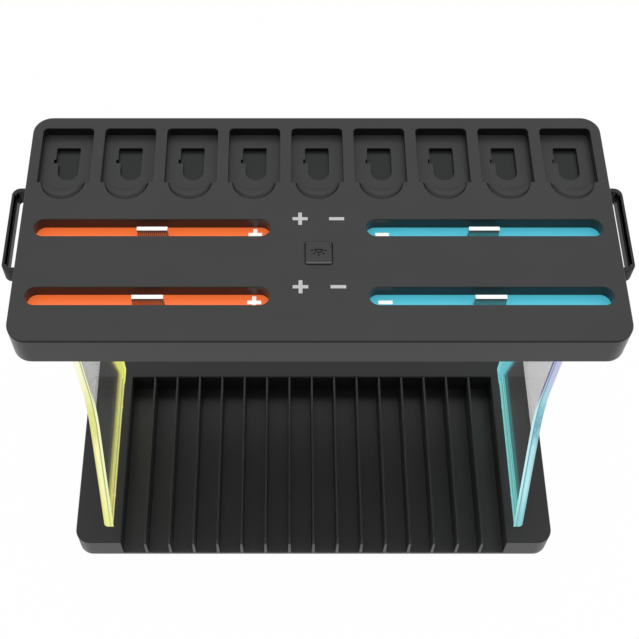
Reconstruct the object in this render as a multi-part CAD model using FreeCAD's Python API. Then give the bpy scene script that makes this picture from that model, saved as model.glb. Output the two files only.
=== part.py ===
"""Charging station organizer: a case rack base, two clear side panels and a charging tray.

All lengths are millimetres. +X runs to the right along the tray, +Y to the rear and +Z up.
The origin is the middle of the overall footprint, on the surface that the feet stand on.
"""
import FreeCAD, Part
import math
import os

Vector = FreeCAD.Vector

# Case rack in the base
case_slot_count = 16
rack_depth = 104.4
divider_top_thickness = 1.0
divider_foot_thickness = 1.8
divider_groove_depth = 0.8
divider_nose_chamfer = 2.4
divider_fit = 0.05

# Base
side_block_width = 25.3
rear_rim_depth = 23.6
base_height = 18.1
base_corner_radius = 8.2
base_edge_round = 0.8
base_low_round = 0.7
base_plate_thickness = 2.5
base_deck = 2.2
base_wall = 2.2
foot_height = 1.0
foot_radius = 7.0
foot_inset = 15.0

# Clear side panels
panel_thickness = 5.4
panel_rack_gap = 4.6
panel_front_margin = 9.6
panel_rear_margin = 17.4
panel_sweep = 29.6
panel_knee_height = 84.2
panel_knee_reach = 17.5
panel_nose_round = 2.6
panel_edge_chamfer = 0.4
panel_fit = 0.15
panel_pocket_wall = 2.0
panel_screw_depth = 3.0
panel_screw_shares = (0.22, 0.78)

# Tray shell
storey_height = 155.5
tray_setback = 27.8
tray_overhang = 22.8
tray_height = 19.0
tray_corner_radius = 9.2
tray_edge_round = 0.4
tray_low_round = 0.5
seam_drop = 0.5
seam_height = 0.9
seam_depth = 0.7
tray_skin = 2.0
tray_wall = 2.0
mouth_round = 0.4
bottom_cover_thickness = 2.0
cover_fit = 0.15

# Controller charging slots
slot_length = 111.0
slot_width = 9.5
slot_depth = 6.8
slot_middle_gap = 45.0
slot_end_margin = 6.5
front_slot_setback = 23.65
slot_row_pitch = 37.9
slot_wall = 1.2
slot_pad_thickness = 1.2
connector_length = 14.4
connector_width = 2.1
connector_height = 5.9
connector_corner_radius = 0.3
connector_foot_height = 1.0
connector_foot_rim = 1.4
connector_fit = 0.2
contact_count = 14
contact_thickness = 0.25
contact_drop = 1.8
contact_height = 3.8
contact_fill_share = 0.6

# Card wells
well_width = 25.0
well_rim = 5.6
well_length = 33.3
well_depth = 5.1
well_floor = 1.6
well_corner_radius = 2.2
well_slot_gap = 26.85
well_rear_margin = 6.8
well_side_margin = 4.0
scoop_reach = 10.8
scoop_setback = 0.5
scoop_depth = 4.8
pocket_width = 11.7
pocket_length = 20.0
pocket_setback = 8.4
pocket_depth = 2.2
pocket_corner_radius = 0.8
pocket_step = 1.5
nick_depth = 0.9
nick_length = 2.4
nick_share = 0.42

# Light button and its switch
button_side = 12.3
button_corner_radius = 1.2
button_proud = 1.0
button_shift = 4.3
button_edge_round = 0.8
button_gap = 0.45
button_flange_rim = 1.4
button_flange_height = 1.0
button_flange_gap = 0.2
button_travel = 0.8
stem_radius = 2.0
switch_side = 6.0
switch_height = 3.4
plunger_radius = 1.7
plunger_lift = 1.0
plunger_seat = 1.0
plunger_gap = 0.05
plunger_spare = 0.2

# Circuit board
board_thickness = 1.6
board_side_gap = 2.0
board_front_gap = 6.2
board_rear_gap = 6.8
board_tongue_width = 24.0
board_tongue_gap = 0.5
post_radius = 3.0
post_inset = 3.6
post_span_share = 0.84
chip_side = 7.0
chip_height = 1.0
coil_side = 6.0
coil_height = 2.8
chip_spread = 11.0
light_count = 10
light_length = 3.5
light_width = 2.8
light_height = 0.8
light_gap = 0.4

# Power inlet
inlet_width = 8.9
inlet_height = 3.2
inlet_length = 7.6
inlet_wall = 0.3
inlet_corner_share = 0.8
inlet_setback = 0.6
inlet_mouth_gap = 0.3
inlet_tongue_width = 6.2
inlet_tongue_height = 0.7
inlet_back_length = 1.2

# Hanger loops
loop_reach = 8.3
loop_span = 48.6
loop_shift = 2.35
loop_bar = 2.4
loop_height = 8.6
loop_rebate_width = 1.0
loop_rebate_height = 3.5
loop_corner_radius = 4.2
loop_edge_round = 0.35
loop_gap = 0.25
loop_barb_length = 2.0
loop_barb_depth = 1.2
loop_stop_gap = 0.3
loop_end_gap = 0.75
guide_thickness = 1.5
guide_height = 5.5
guide_end_gap = 0.8

# Screws
screw_radius = 1.0
screw_head_radius = 1.9
screw_head_height = 1.3
screw_socket_radius = 0.85
screw_socket_depth = 0.7
screw_length = 7.0
screw_gap = 0.15
thread_gap = 0.02
boss_radius = 2.8
boss_sink_share = 0.8
front_boss_outer_inset = 12.5
front_boss_inner_share = 0.43
rear_boss_gap_numbers = (1, 3)
rear_boss_share = 0.36
base_screw_shares = (0.3, 0.7)
rear_base_screw_share = 0.5

# Past the surface of what is cut
overrun = 1.0

# Heights that follow
base_bottom_z = foot_height
plate_top_z = base_bottom_z + base_plate_thickness
base_top_z = base_bottom_z + base_height
tray_bottom_z = base_top_z + storey_height
tray_top_z = tray_bottom_z + tray_height
skin_under_z = tray_top_z - tray_skin
cover_top_z = tray_bottom_z + bottom_cover_thickness
slot_floor_z = tray_top_z - slot_depth
pad_under_z = slot_floor_z - slot_pad_thickness
board_top_z = pad_under_z - connector_foot_height
board_under_z = board_top_z - board_thickness
light_under_z = board_under_z - light_height
panel_top_z = light_under_z - light_gap
connector_top_z = slot_floor_z + connector_height
contact_high_z = connector_top_z - contact_drop
well_floor_z = tray_top_z - well_depth
pocket_floor_z = well_floor_z - pocket_depth
knee_z = base_top_z + panel_knee_height
loop_low_z = cover_top_z + loop_gap
loop_high_z = loop_low_z + loop_height

# Widths that follow
tray_half = slot_middle_gap / 2 + slot_length + slot_end_margin
panel_outer_x = tray_half - tray_overhang
panel_inner_x = panel_outer_x - panel_thickness
rack_half = panel_inner_x - panel_rack_gap
case_slot_pitch = 2 * rack_half / case_slot_count
base_half = rack_half + side_block_width
panel_middle_x = (panel_inner_x + panel_outer_x) / 2
pocket_inner_x = panel_inner_x - panel_fit - panel_pocket_wall
pocket_outer_x = panel_outer_x + panel_fit + panel_pocket_wall
slot_middle_x = (slot_middle_gap + slot_length) / 2
board_half = pocket_outer_x - board_side_gap
wall_inner_x = tray_half - tray_wall
loop_outer_x = tray_half + loop_reach
loop_end_x = pocket_outer_x + loop_end_gap
loop_travel = wall_inner_x - loop_stop_gap - loop_barb_length - loop_end_x
well_pitch = well_width + well_rim
well_count = int((2 * (tray_half - well_side_margin) + well_rim) / well_pitch)

# Depths that follow
base_depth = rack_depth + rear_rim_depth
tray_depth = front_slot_setback + slot_row_pitch + well_slot_gap + well_length + well_rear_margin
overall_depth = max(base_depth, tray_setback + tray_depth)
base_front_y = -overall_depth / 2
base_rear_y = base_front_y + base_depth
rack_rear_y = base_front_y + rack_depth
tray_front_y = base_front_y + tray_setback
tray_rear_y = tray_front_y + tray_depth
front_slot_y = tray_front_y + front_slot_setback
rear_slot_y = front_slot_y + slot_row_pitch
button_y = (front_slot_y + rear_slot_y) / 2 + button_shift
well_rear_y = tray_rear_y - well_rear_margin
well_front_y = well_rear_y - well_length
pocket_rear_y = well_rear_y - pocket_setback
pocket_front_y = pocket_rear_y - pocket_length
panel_front_y = base_front_y + panel_front_margin
panel_neck_y = panel_front_y + panel_sweep
panel_rear_y = base_rear_y - panel_rear_margin
board_front_y = tray_front_y + tray_wall + board_front_gap
board_rear_y = rear_slot_y + slot_width / 2 + board_rear_gap
loop_front_y = (tray_front_y + tray_rear_y - loop_span) / 2 + loop_shift
loop_rear_y = loop_front_y + loop_span
inlet_rear_y = tray_rear_y - inlet_setback
inlet_front_y = inlet_rear_y - inlet_length
inlet_top_z = board_under_z
inlet_low_z = inlet_top_z - inlet_height

# Places of the screws
front_boss_y = tray_front_y + tray_wall + boss_sink_share * boss_radius
front_boss_xs = (tray_half - front_boss_outer_inset, front_boss_inner_share * tray_half)
rear_boss_y = well_rear_y - rear_boss_share * well_length
rear_boss_xs = tuple((number + 0.5) * well_pitch for number in rear_boss_gap_numbers)
post_xs = (-post_span_share * board_half, 0.0, post_span_share * board_half)
post_ys = (board_front_y + post_inset, board_rear_y - post_inset)
side_hollow_x = (pocket_outer_x + base_half - base_wall) / 2
rear_hollow_y = (rack_rear_y + base_rear_y) / 2


def block(x_low, x_high, y_low, y_high, z_low, z_high):
    """A plain block between two corners."""
    return Part.makeBox(x_high - x_low, y_high - y_low, z_high - z_low, Vector(x_low, y_low, z_low))


def outline(points, bends):
    """A closed wire through points; bends gives the middle of an arc that replaces a straight side."""
    edges = []
    for number, start in enumerate(points):
        end = points[(number + 1) % len(points)]
        if number in bends:
            edges.append(Part.Arc(start, bends[number], end).toShape())
        else:
            edges.append(Part.LineSegment(start, end).toShape())
    return Part.Wire(edges)


def prism(wire, travel):
    """The solid that a closed flat wire sweeps along a straight travel."""
    return Part.Face(wire).extrude(travel)


def rounded_block(x_low, x_high, y_low, y_high, z_low, z_high, radius):
    """A block whose four upright edges are rounded."""
    nook = radius * (1 - math.sqrt(0.5))
    points = [
        Vector(x_low + radius, y_low, z_low),
        Vector(x_high - radius, y_low, z_low),
        Vector(x_high, y_low + radius, z_low),
        Vector(x_high, y_high - radius, z_low),
        Vector(x_high - radius, y_high, z_low),
        Vector(x_low + radius, y_high, z_low),
        Vector(x_low, y_high - radius, z_low),
        Vector(x_low, y_low + radius, z_low),
    ]
    bends = {
        1: Vector(x_high - nook, y_low + nook, z_low),
        3: Vector(x_high - nook, y_high - nook, z_low),
        5: Vector(x_low + nook, y_high - nook, z_low),
        7: Vector(x_low + nook, y_low + nook, z_low),
    }
    return prism(outline(points, bends), Vector(0, 0, z_high - z_low))


def stadium(x_middle, y_middle, length, width, z_low, z_high):
    """A prism with two straight sides along X and two round ends."""
    run = (length - width) / 2
    radius = width / 2
    points = [
        Vector(x_middle - run, y_middle - radius, z_low),
        Vector(x_middle + run, y_middle - radius, z_low),
        Vector(x_middle + run, y_middle + radius, z_low),
        Vector(x_middle - run, y_middle + radius, z_low),
    ]
    bends = {
        1: Vector(x_middle + run + radius, y_middle, z_low),
        3: Vector(x_middle - run - radius, y_middle, z_low),
    }
    return prism(outline(points, bends), Vector(0, 0, z_high - z_low))


def upright(x, y, z_low, z_high, radius):
    """A round post or hole along Z."""
    return Part.makeCylinder(radius, z_high - z_low, Vector(x, y, z_low))


def crossbar(x_low, x_high, y, z, radius):
    """A round bar or hole along X."""
    return Part.makeCylinder(radius, x_high - x_low, Vector(x_low, y, z), Vector(1, 0, 0))


def mirrored(shape):
    """The same shape on the other side of the middle."""
    return shape.mirror(Vector(0, 0, 0), Vector(1, 0, 0))


def both_sides(shape):
    """A shape of the right side together with its left twin."""
    return [shape, mirrored(shape)]


def joined(shapes):
    """One solid from overlapping or touching shapes."""
    return shapes[0].multiFuse(shapes[1:]).removeSplitter()


def edges_at(shape, z):
    """The edges of a shape that lie in one level plane."""
    flat = []
    for edge in shape.Edges:
        box = edge.BoundBox
        if abs(box.ZMin - z) < overrun / 1000 and abs(box.ZMax - z) < overrun / 1000:
            flat.append(edge)
    return flat


def softened(shape, z, radius):
    """The shape with every edge in one level plane rounded."""
    return shape.makeFillet(radius, edges_at(shape, z))


def screw(tip, axis, length):
    """A socket screw whose tip is given and whose head lies at the end of its axis."""
    shank = Part.makeCylinder(screw_radius, length, tip, axis)
    seat = tip + axis * length
    head = Part.makeCylinder(screw_head_radius, screw_head_height, seat, axis)
    crown = seat + axis * screw_head_height
    socket = Part.makeCylinder(screw_socket_radius, screw_socket_depth, crown, -axis)
    return joined([shank, head]).cut(socket)


def divider_xs():
    """The middle of each rib between two case slots."""
    return [-rack_half + case_slot_pitch * number for number in range(1, case_slot_count)]


def well_xs():
    """The middle of each card well."""
    first = -well_pitch * (well_count - 1) / 2
    return [first + well_pitch * number for number in range(well_count)]


def slot_places():
    """The four charging slots by name, with the middle of each."""
    places = {}
    for row, y in (("front", front_slot_y), ("rear", rear_slot_y)):
        for side, x in (("left", -slot_middle_x), ("right", slot_middle_x)):
            places[row + "_" + side] = (x, y)
    return places


def base_screw_places():
    """Where the screws come up through the base plate."""
    places = []
    for share in base_screw_shares:
        y = base_front_y + share * base_depth
        places += [(-side_hollow_x, y), (side_hollow_x, y)]
    x = rear_base_screw_share * rack_half
    return places + [(-x, rear_hollow_y), (x, rear_hollow_y)]


def cover_screw_places():
    """Where the screws come up through the tray's bottom cover."""
    places = []
    for x in front_boss_xs:
        places += [(-x, front_boss_y), (x, front_boss_y)]
    for x in rear_boss_xs:
        places += [(-x, rear_boss_y), (x, rear_boss_y)]
    return places


def panel_screw_ys(front_y):
    """Where the cross screws pass a panel edge that runs from front_y to the panel's rear."""
    return [front_y + share * (panel_rear_y - front_y) for share in panel_screw_shares]


panel_foot_screw_z = (plate_top_z + base_top_z) / 2
panel_top_screw_z = (cover_top_z + panel_top_z) / 2


def base_plate():
    """The bottom plate, with a groove for each rib and a sunk hole for each screw."""
    plate = rounded_block(
        -base_half, base_half, base_front_y, base_rear_y, base_bottom_z, plate_top_z, base_corner_radius
    )
    plate = softened(plate, base_bottom_z, base_low_round)
    groove_half = divider_foot_thickness / 2 + divider_fit
    groove_z = plate_top_z - divider_groove_depth
    cuts = []
    for x in divider_xs():
        cuts.append(
            block(
                x - groove_half, x + groove_half, base_front_y - overrun, rack_rear_y, groove_z,
                plate_top_z + overrun,
            )
        )
    for x, y in base_screw_places():
        cuts.append(upright(x, y, base_bottom_z - overrun, plate_top_z + overrun, screw_radius + screw_gap))
        sink_z = base_bottom_z + screw_head_height
        cuts.append(upright(x, y, base_bottom_z - overrun, sink_z, screw_head_radius + screw_gap))
    return plate.cut(cuts)


def panel_slot():
    """The slot in the right side block that takes the panel's foot, with the foot's rounded corner."""
    low_x = panel_inner_x - panel_fit
    high_x = panel_outer_x + panel_fit
    front_y = panel_front_y - panel_fit
    rear_y = panel_rear_y + panel_fit
    low_z = plate_top_z - overrun
    corner = panel_nose_round + panel_fit
    nook = corner * (1 - math.sqrt(0.5))
    points = [
        Vector(low_x, front_y, low_z),
        Vector(high_x - corner, front_y, low_z),
        Vector(high_x, front_y + corner, low_z),
        Vector(high_x, rear_y, low_z),
        Vector(low_x, rear_y, low_z),
    ]
    bends = {1: Vector(high_x - nook, front_y + nook, low_z)}
    return prism(outline(points, bends), Vector(0, 0, base_top_z + overrun - low_z))


def base_frame():
    """The upper moulding: two side blocks and a rear rim round the open case rack."""
    frame = rounded_block(
        -base_half, base_half, base_front_y, base_rear_y, plate_top_z, base_top_z, base_corner_radius
    )
    rack = block(
        -rack_half, rack_half, base_front_y - overrun, rack_rear_y, plate_top_z - overrun, base_top_z + overrun
    )
    frame = softened(frame.cut(rack), base_top_z, base_edge_round)
    hollow_z = base_top_z - base_deck
    hollows = both_sides(
        block(
            pocket_outer_x, base_half - base_wall, base_front_y + base_wall, base_rear_y - base_wall,
            plate_top_z - overrun, hollow_z,
        )
    )
    hollows.append(
        block(
            -rack_half, rack_half, rack_rear_y + base_wall, base_rear_y - base_wall, plate_top_z - overrun,
            hollow_z,
        )
    )
    frame = frame.cut(hollows)
    bosses = [upright(x, y, plate_top_z, hollow_z, boss_radius) for x, y in base_screw_places()]
    frame = joined([frame] + bosses)
    cuts = []
    for x, y in base_screw_places():
        cuts.append(upright(x, y, plate_top_z - overrun, hollow_z, screw_radius + thread_gap))
    cuts += both_sides(panel_slot())
    for y in panel_screw_ys(panel_front_y):
        blind_x = panel_inner_x - panel_fit - panel_screw_depth
        cuts += both_sides(crossbar(blind_x, panel_inner_x, y, panel_foot_screw_z, screw_radius + thread_gap))
        cuts += both_sides(
            crossbar(panel_outer_x, pocket_outer_x + overrun, y, panel_foot_screw_z, screw_radius + screw_gap)
        )
    return frame.cut(cuts)


def case_dividers():
    """The ribs between the case slots, each a tapered blade with a bevelled nose."""
    foot_z = plate_top_z - divider_groove_depth
    foot_half = divider_foot_thickness / 2
    top_half = divider_top_thickness / 2
    rear_y = rack_rear_y - divider_fit
    blades = []
    for x in divider_xs():
        points = [
            Vector(x - foot_half, base_front_y, foot_z),
            Vector(x + foot_half, base_front_y, foot_z),
            Vector(x + foot_half, base_front_y, plate_top_z),
            Vector(x + top_half, base_front_y, base_top_z),
            Vector(x - top_half, base_front_y, base_top_z),
            Vector(x - foot_half, base_front_y, plate_top_z),
        ]
        blade = prism(outline(points, {}), Vector(0, rear_y - base_front_y, 0))
        bevel = outline(
            [
                Vector(x - foot_half, base_front_y, base_top_z - divider_nose_chamfer),
                Vector(x - foot_half, base_front_y, base_top_z),
                Vector(x - foot_half, base_front_y + divider_nose_chamfer, base_top_z),
            ],
            {},
        )
        blades.append(blade.cut(prism(bevel, Vector(divider_foot_thickness, 0, 0))))
    return Part.makeCompound(blades)


def base_feet():
    """Four round rubber pads under the base plate."""
    pads = []
    for y in (base_front_y + foot_inset, base_rear_y - foot_inset):
        pads += both_sides(upright(base_half - foot_inset, y, 0.0, foot_height, foot_radius))
    return Part.makeCompound(pads)


def base_screws():
    """The screws that hold the base plate to the frame."""
    return Part.makeCompound(
        [
            screw(Vector(x, y, base_bottom_z + screw_head_height + screw_length), Vector(0, 0, -1), screw_length)
            for x, y in base_screw_places()
        ]
    )


def is_front(edge):
    """Whether a panel's edge lies along its front, foot to top."""
    box = edge.BoundBox
    return box.YMax < panel_neck_y + overrun / 1000 and box.ZLength > overrun


def side_panel():
    """The right panel: its front edge leans back from the foot to a rounded knee, then stands upright."""
    lean = math.atan2(panel_sweep, panel_knee_height)
    radius = panel_knee_reach / math.tan(lean / 2)
    arc_y = panel_neck_y - radius + radius * math.cos(lean / 2)
    arc_z = knee_z + panel_knee_reach - radius * math.sin(lean / 2)
    points = [
        Vector(panel_inner_x, panel_rear_y, plate_top_z),
        Vector(panel_inner_x, panel_front_y, plate_top_z),
        Vector(panel_inner_x, panel_front_y, base_top_z),
        Vector(
            panel_inner_x, panel_neck_y - panel_knee_reach * math.sin(lean),
            knee_z - panel_knee_reach * math.cos(lean),
        ),
        Vector(panel_inner_x, panel_neck_y, knee_z + panel_knee_reach),
        Vector(panel_inner_x, panel_neck_y, panel_top_z),
        Vector(panel_inner_x, panel_rear_y, panel_top_z),
    ]
    wire = outline(points, {3: Vector(panel_inner_x, arc_y, arc_z)})
    panel = prism(wire, Vector(panel_thickness, 0, 0))
    faces = (panel_inner_x, panel_outer_x)
    rims = [edge for edge in panel.Edges if edge.BoundBox.XLength < overrun / 1000]
    nose = [edge for edge in rims if edge.BoundBox.XMin > panel_middle_x and is_front(edge)]
    panel = panel.makeFillet(panel_nose_round, nose)
    rims = [edge for edge in panel.Edges if edge.BoundBox.XMax < panel_middle_x]
    panel = panel.makeChamfer(panel_edge_chamfer, rims)
    cuts = []
    for y in panel_screw_ys(panel_front_y):
        cuts.append(
            crossbar(faces[0] - overrun, faces[1] + overrun, y, panel_foot_screw_z, screw_radius + screw_gap)
        )
    for y in panel_screw_ys(panel_neck_y):
        cuts.append(
            crossbar(faces[0] - overrun, faces[1] + overrun, y, panel_top_screw_z, screw_radius + screw_gap)
        )
    return panel.cut(cuts)


def panel_foot_screws():
    """Cross screws that pin each panel's foot inside its side block."""
    length = pocket_outer_x - panel_inner_x + panel_fit + panel_screw_depth
    tip_x = pocket_outer_x - length
    pins = []
    for y in panel_screw_ys(panel_front_y):
        pins += both_sides(screw(Vector(tip_x, y, panel_foot_screw_z), Vector(1, 0, 0), length))
    return Part.makeCompound(pins)


def panel_top_screws():
    """Cross screws that pin each panel's top edge in the tray's pockets."""
    length = pocket_outer_x - pocket_inner_x
    pins = []
    for y in panel_screw_ys(panel_neck_y):
        pins += both_sides(screw(Vector(pocket_outer_x, y, panel_top_screw_z), Vector(-1, 0, 0), length))
    return Part.makeCompound(pins)


def well_shape(x, grow, z_low, z_high):
    """A card well, grown outwards all round, as a prism."""
    half = well_width / 2 + grow
    rear = well_rear_y + grow
    front = well_front_y - grow
    corner = well_corner_radius + grow
    nook = corner * (1 - math.sqrt(0.5))
    points = [
        Vector(x - half, front, z_low),
        Vector(x + half, front, z_low),
        Vector(x + half, rear - corner, z_low),
        Vector(x + half - corner, rear, z_low),
        Vector(x - half + corner, rear, z_low),
        Vector(x - half, rear - corner, z_low),
    ]
    bends = {
        2: Vector(x + half - nook, rear - nook, z_low),
        4: Vector(x - half + nook, rear - nook, z_low),
    }
    return prism(outline(points, bends), Vector(0, 0, z_high - z_low))


def scoop_shape(x, grow, z_low, z_high):
    """The ball-shaped thumb scoop at the front of a card well, grown outwards, between two levels."""
    radius = (scoop_reach**2 + scoop_depth**2) / (2 * scoop_depth)
    middle = Vector(x, well_front_y + scoop_setback, tray_top_z - scoop_depth + radius)
    ball = Part.makeSphere(radius + grow, middle)
    reach = radius + grow + overrun
    slab = block(x - reach, x + reach, middle.y - reach, middle.y + reach, z_low, z_high)
    return ball.common(slab)


def pocket_shape(x, grow, z_low, z_high):
    """The deeper pocket in a card well: square at the rear, stepped on the left and round at the front."""
    half = pocket_width / 2 + grow
    left = pocket_step - half
    turn = (half - left) / 2
    rear = pocket_rear_y + grow
    turn_y = pocket_front_y - grow + turn
    step_y = pocket_rear_y - nick_share * pocket_length - grow
    corner = pocket_corner_radius + grow
    nook = corner * (1 - math.sqrt(0.5))
    points = [
        Vector(x + left, turn_y, z_low),
        Vector(x + half, turn_y, z_low),
        Vector(x + half, rear - corner, z_low),
        Vector(x + half - corner, rear, z_low),
        Vector(x - half + corner, rear, z_low),
        Vector(x - half, rear - corner, z_low),
        Vector(x - half, step_y, z_low),
        Vector(x + left, step_y, z_low),
    ]
    bends = {
        0: Vector(x + (left + half) / 2, turn_y - turn, z_low),
        2: Vector(x + half - nook, rear - nook, z_low),
        4: Vector(x - half + nook, rear - nook, z_low),
    }
    return prism(outline(points, bends), Vector(0, 0, z_high - z_low))


def nick_shape(x, z_low, z_high):
    """The small nick in the left side of a finger pocket."""
    y = pocket_rear_y - nick_share * pocket_length
    left = x - pocket_width / 2 - nick_depth
    return block(left, x, y - nick_length / 2, y + nick_length / 2, z_low, z_high)


def seam_ring():
    """The shallow groove that runs round the tray just under its top edge."""
    high_z = tray_top_z - seam_drop
    low_z = high_z - seam_height
    outside = block(
        -tray_half - overrun, tray_half + overrun, tray_front_y - overrun, tray_rear_y + overrun, low_z, high_z
    )
    core = rounded_block(
        seam_depth - tray_half, tray_half - seam_depth, tray_front_y + seam_depth, tray_rear_y - seam_depth,
        low_z, high_z, tray_corner_radius - seam_depth,
    )
    return outside.cut(core)


def tray_top_cover():
    """The tray's shell: deck, side walls, well and slot tubs and screw bosses in one moulding."""
    shell = rounded_block(
        -tray_half, tray_half, tray_front_y, tray_rear_y, tray_bottom_z, tray_top_z, tray_corner_radius
    )
    shell = softened(shell, tray_top_z, tray_edge_round)
    shell = softened(shell, tray_bottom_z, tray_low_round)
    hollow = rounded_block(
        -wall_inner_x, wall_inner_x, tray_front_y + tray_wall, tray_rear_y - tray_wall,
        tray_bottom_z - overrun, skin_under_z, tray_corner_radius - tray_wall,
    )
    pieces = [shell.cut([hollow, seam_ring()])]
    for x in well_xs():
        pieces.append(well_shape(x, well_floor, well_floor_z - well_floor, skin_under_z))
        pieces.append(scoop_shape(x, well_floor, well_floor_z - well_floor, skin_under_z))
        pieces.append(pocket_shape(x, well_floor, pocket_floor_z - well_floor, skin_under_z))
    tub_length = slot_length + 2 * slot_wall
    tub_width = slot_width + 2 * slot_wall
    for x, y in slot_places().values():
        pieces.append(stadium(x, y, tub_length, tub_width, slot_floor_z, skin_under_z))
    for x, y in cover_screw_places():
        pieces.append(upright(x, y, cover_top_z, skin_under_z, boss_radius))
    cover = joined(pieces)
    mouths = []
    for x in well_xs():
        mouths.append(well_shape(x, 0.0, well_floor_z, tray_top_z + overrun))
        mouths.append(scoop_shape(x, 0.0, well_floor_z, tray_top_z + overrun))
        mouths.append(pocket_shape(x, 0.0, pocket_floor_z, tray_top_z))
        mouths.append(nick_shape(x, pocket_floor_z, tray_top_z))
    for x, y in slot_places().values():
        mouths.append(stadium(x, y, slot_length, slot_width, slot_floor_z - overrun, tray_top_z + overrun))
    cover = cover.cut(mouths)
    rims = []
    for edge in edges_at(cover, tray_top_z):
        box = edge.BoundBox
        inside_x = max(abs(box.XMin), abs(box.XMax)) < tray_half - 2 * tray_edge_round
        inside_y = box.YMin > tray_front_y + 2 * tray_edge_round
        if inside_x and inside_y and box.YMax < tray_rear_y - 2 * tray_edge_round:
            rims.append(edge)
    cover = cover.makeFillet(mouth_round, rims)
    return cover.cut(tray_wall_cuts())


def tray_wall_cuts():
    """The button hole, the pilot holes, the loop holes and the inlet hole of the tray's shell."""
    button_half = button_side / 2 + button_gap
    cuts = [
        rounded_block(
            -button_half, button_half, button_y - button_half, button_y + button_half,
            skin_under_z - overrun, tray_top_z + overrun, button_corner_radius + button_gap,
        )
    ]
    for x, y in cover_screw_places():
        depth = screw_length + screw_head_height + screw_gap
        cuts.append(upright(x, y, cover_top_z - overrun, tray_bottom_z + depth, screw_radius + thread_gap))
    for y in (loop_front_y, loop_rear_y - loop_bar):
        cuts += both_sides(
            block(
                wall_inner_x - overrun, tray_half + overrun, y - loop_gap, y + loop_bar + loop_gap,
                loop_low_z - loop_gap, loop_high_z + loop_gap,
            )
        )
    hole_half = inlet_width / 2 + inlet_mouth_gap
    mouth_low_z = inlet_low_z - inlet_mouth_gap
    mouth_high_z = inlet_top_z + inlet_mouth_gap
    mouth = rounded_block(
        -hole_half, hole_half, mouth_low_z, mouth_high_z, 0.0, tray_wall + 2 * overrun,
        (mouth_high_z - mouth_low_z) / 2 * inlet_corner_share,
    )
    mouth.rotate(Vector(0, 0, 0), Vector(1, 0, 0), 90)
    mouth.translate(Vector(0, tray_rear_y + overrun, 0))
    cuts.append(mouth)
    return cuts


def tray_bottom_cover():
    """The closing plate, with panel pockets, board posts and loop guides standing on it."""
    inset = tray_wall + cover_fit
    plate = rounded_block(
        inset - tray_half, tray_half - inset, tray_front_y + inset, tray_rear_y - inset,
        tray_bottom_z, cover_top_z, tray_corner_radius - inset,
    )
    pocket_front_end = panel_neck_y - panel_fit
    pocket_rear_end = panel_rear_y + panel_fit
    pieces = [plate]
    pieces += both_sides(
        block(pocket_inner_x, pocket_outer_x, pocket_front_end, pocket_rear_end, cover_top_z, panel_top_z)
    )
    for x in post_xs:
        for y in post_ys:
            pieces.append(upright(x, y, cover_top_z, board_under_z, post_radius))
    guide_high_z = cover_top_z + guide_height
    front_face_y = loop_front_y - loop_gap
    rear_face_y = loop_rear_y + loop_gap
    for y in (front_face_y - guide_thickness, rear_face_y):
        pieces += both_sides(
            block(
                loop_end_x, wall_inner_x - guide_end_gap, y, y + guide_thickness, cover_top_z, guide_high_z
            )
        )
    cover = joined(pieces)
    cuts = both_sides(
        block(
            panel_inner_x - panel_fit, panel_outer_x + panel_fit, pocket_front_end - overrun,
            pocket_rear_end + overrun, cover_top_z, panel_top_z + overrun,
        )
    )
    cuts += both_sides(
        block(
            panel_inner_x - panel_fit, panel_outer_x + panel_fit, pocket_front_end, pocket_rear_end,
            tray_bottom_z - overrun, panel_top_z + overrun,
        )
    )
    for y in panel_screw_ys(panel_neck_y):
        cuts += both_sides(
            crossbar(
                pocket_inner_x - overrun, panel_inner_x, y, panel_top_screw_z, screw_radius + screw_gap
            )
        )
        cuts += both_sides(
            crossbar(
                panel_outer_x, pocket_outer_x + overrun, y, panel_top_screw_z, screw_radius + thread_gap
            )
        )
    for x in post_xs:
        for y in post_ys:
            cuts.append(upright(x, y, cover_top_z, board_under_z + overrun, screw_radius + thread_gap))
    for x, y in cover_screw_places():
        cuts.append(upright(x, y, tray_bottom_z - overrun, cover_top_z + overrun, screw_radius + screw_gap))
        sink_z = tray_bottom_z + screw_head_height
        cuts.append(upright(x, y, tray_bottom_z - overrun, sink_z, screw_head_radius + screw_gap))
    return cover.cut(cuts)


def cover_screws():
    """The screws that hold the tray's two covers together."""
    tip_z = tray_bottom_z + screw_head_height + screw_length
    return Part.makeCompound(
        [screw(Vector(x, y, tip_z), Vector(0, 0, -1), screw_length) for x, y in cover_screw_places()]
    )


def slot_pad(x, y):
    """The coloured floor under one slot tub, with a hole for its connector."""
    pad = stadium(x, y, slot_length + 2 * slot_wall, slot_width + 2 * slot_wall, pad_under_z, slot_floor_z)
    half_length = connector_length / 2 + connector_fit
    half_width = connector_width / 2 + connector_fit
    hole = block(
        x - half_length, x + half_length, y - half_width, y + half_width, pad_under_z - overrun,
        slot_floor_z + overrun,
    )
    return pad.cut(hole)


def contact_strips(x, y):
    """The contact strips in the front face of one tongue."""
    pitch = connector_length / (contact_count + 1)
    half = pitch * contact_fill_share / 2
    face_y = y - connector_width / 2
    strips = []
    for number in range(contact_count):
        middle = x - connector_length / 2 + pitch * (number + 1)
        strips.append(
            block(
                middle - half, middle + half, face_y, face_y + contact_thickness,
                contact_high_z - contact_height, contact_high_z,
            )
        )
    return strips


def connector(x, y):
    """A flat tongue on a foot that stands on the circuit board, with seats for its contacts."""
    half_length = connector_length / 2
    half_width = connector_width / 2
    rim = connector_foot_rim
    foot = block(
        x - half_length - rim, x + half_length + rim, y - half_width - rim, y + half_width + rim,
        board_top_z, pad_under_z,
    )
    tongue = rounded_block(
        x - half_length, x + half_length, y - half_width, y + half_width, board_top_z, connector_top_z,
        connector_corner_radius,
    )
    return joined([foot, tongue]).cut(contact_strips(x, y))


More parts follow.
